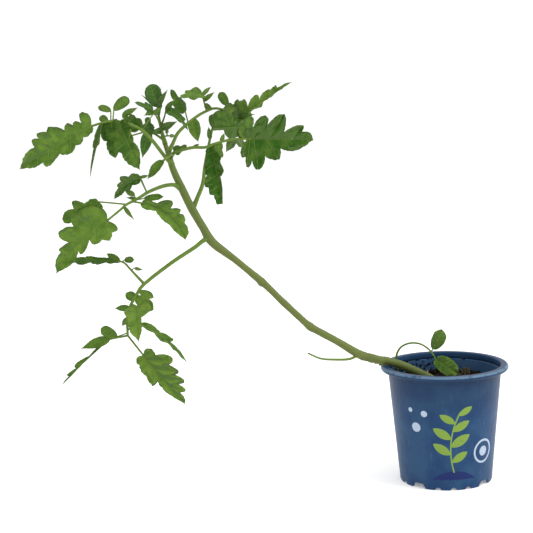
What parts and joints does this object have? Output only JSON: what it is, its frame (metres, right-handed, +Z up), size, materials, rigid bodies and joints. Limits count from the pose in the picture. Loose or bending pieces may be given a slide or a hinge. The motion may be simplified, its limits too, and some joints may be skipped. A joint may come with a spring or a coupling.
{
  "type": "tomato plant in a pot",
  "caption": "Young tomato plant leaning out of a round plastic grower's pot, with cut compound leaves, flower buds and a seedling shoot in the soil.",
  "frame": {"origin": "middle of the flat pad under the pot's floor, on the surface that the pot stands on", "axes": "+Z up, -X towards the side that the plant leans to, -Y towards the viewer of the plant's broad side"},
  "size_m": [0.4383, 0.1432, 0.3822],
  "materials": {
    "pot_plastic": "slate blue moulded plastic, satin, slightly rubbed",
    "soil": "dark crumbly potting compost",
    "stem": "olive green stem with fine hairs",
    "leaf_stalk": "yellow green leaf stalk",
    "leaf": "soft matt green leaf, paler beneath",
    "young_leaf": "young matt green leaf"
  },
  "bodies": {
    "root": {"pot": "pot_plastic", "soil": "soil", "main_stem": "stem", "bare_petiole": "leaf_stalk", "leaf_1": "leaf", "leaf_2": "leaf", "leaf_3": "leaf", "leaf_4": "leaf", "leaf_5": "leaf", "leaf_6": "leaf", "leaf_7": "young_leaf", "shoot_tip": "young_leaf", "flower_buds": "young_leaf", "basal_shoot": "leaf"}
  },
  "joints": []
}
